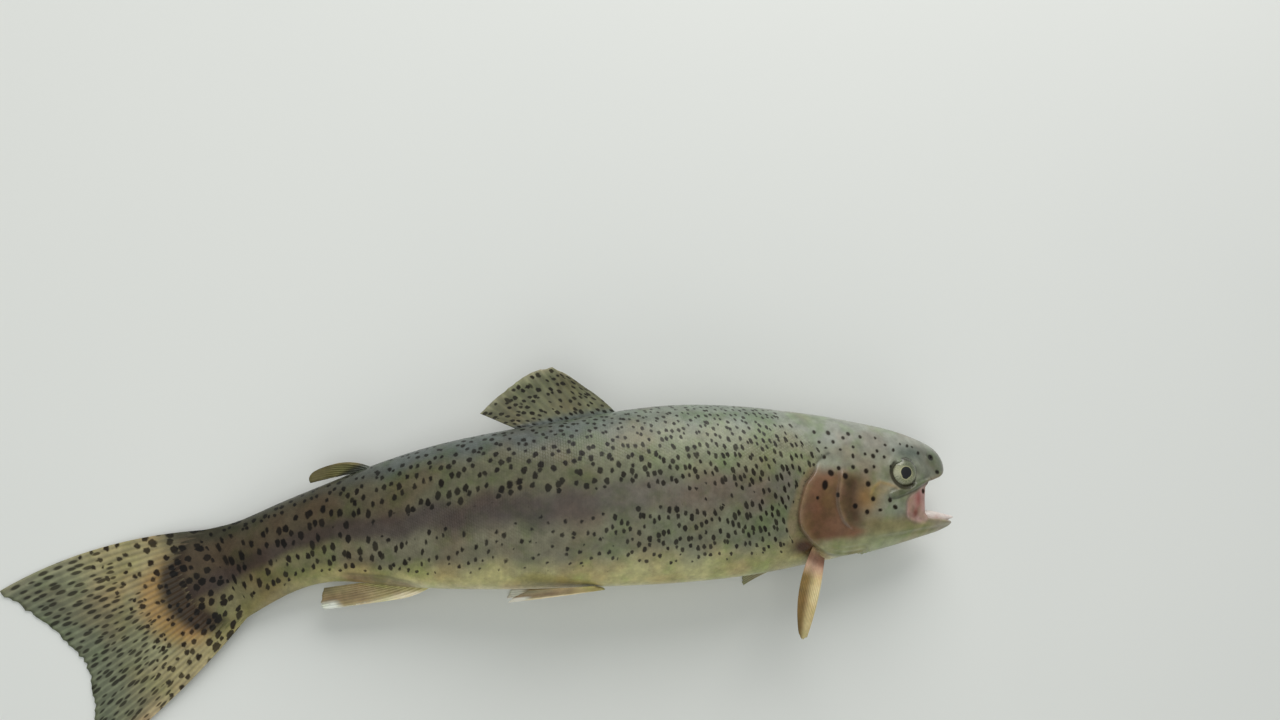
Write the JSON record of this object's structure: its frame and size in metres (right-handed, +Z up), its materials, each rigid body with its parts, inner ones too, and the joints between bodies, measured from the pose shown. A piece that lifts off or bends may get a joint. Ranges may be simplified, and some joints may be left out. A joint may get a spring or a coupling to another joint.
{
  "type": "rainbow trout, life-size model",
  "caption": "Life-size rainbow trout lying on its left side, mouth open, with its tail fin spread on the floor.",
  "frame": {"origin": "middle of the small flat under the left flank, where the fish rests", "axes": "+X towards the nose, +Y towards the back, +Z up, out of the fish's right side"},
  "size_m": [0.3843, 0.1543, 0.0451],
  "materials": {
    "skin": "wet fish skin, olive back, pale belly and many small black spots",
    "gill_skin": "wet skin over the gill covers, pinkish brown",
    "fin": "thin wet fin with fine rays, olive to cream",
    "mouth": "wet pink and white lining",
    "eye": "clear and glossy over a silver-gold iris"
  },
  "bodies": {
    "root": {"head": "skin", "lower_jaw": "skin", "trunk": "skin", "rear_trunk": "skin", "tail_stalk": "skin", "maxilla_right": "skin", "maxilla_left": "skin", "gill_cover_right": "gill_skin", "gill_cover_left": "gill_skin", "tongue": "mouth", "eye_right": "eye", "eye_left": "eye", "dorsal_fin": "fin", "adipose_fin": "fin", "caudal_fin": "fin", "anal_fin": "fin", "pectoral_fin_right": "fin", "pectoral_fin_left": "fin", "pelvic_fin_right": "fin", "pelvic_fin_left": "fin"}
  },
  "joints": []
}
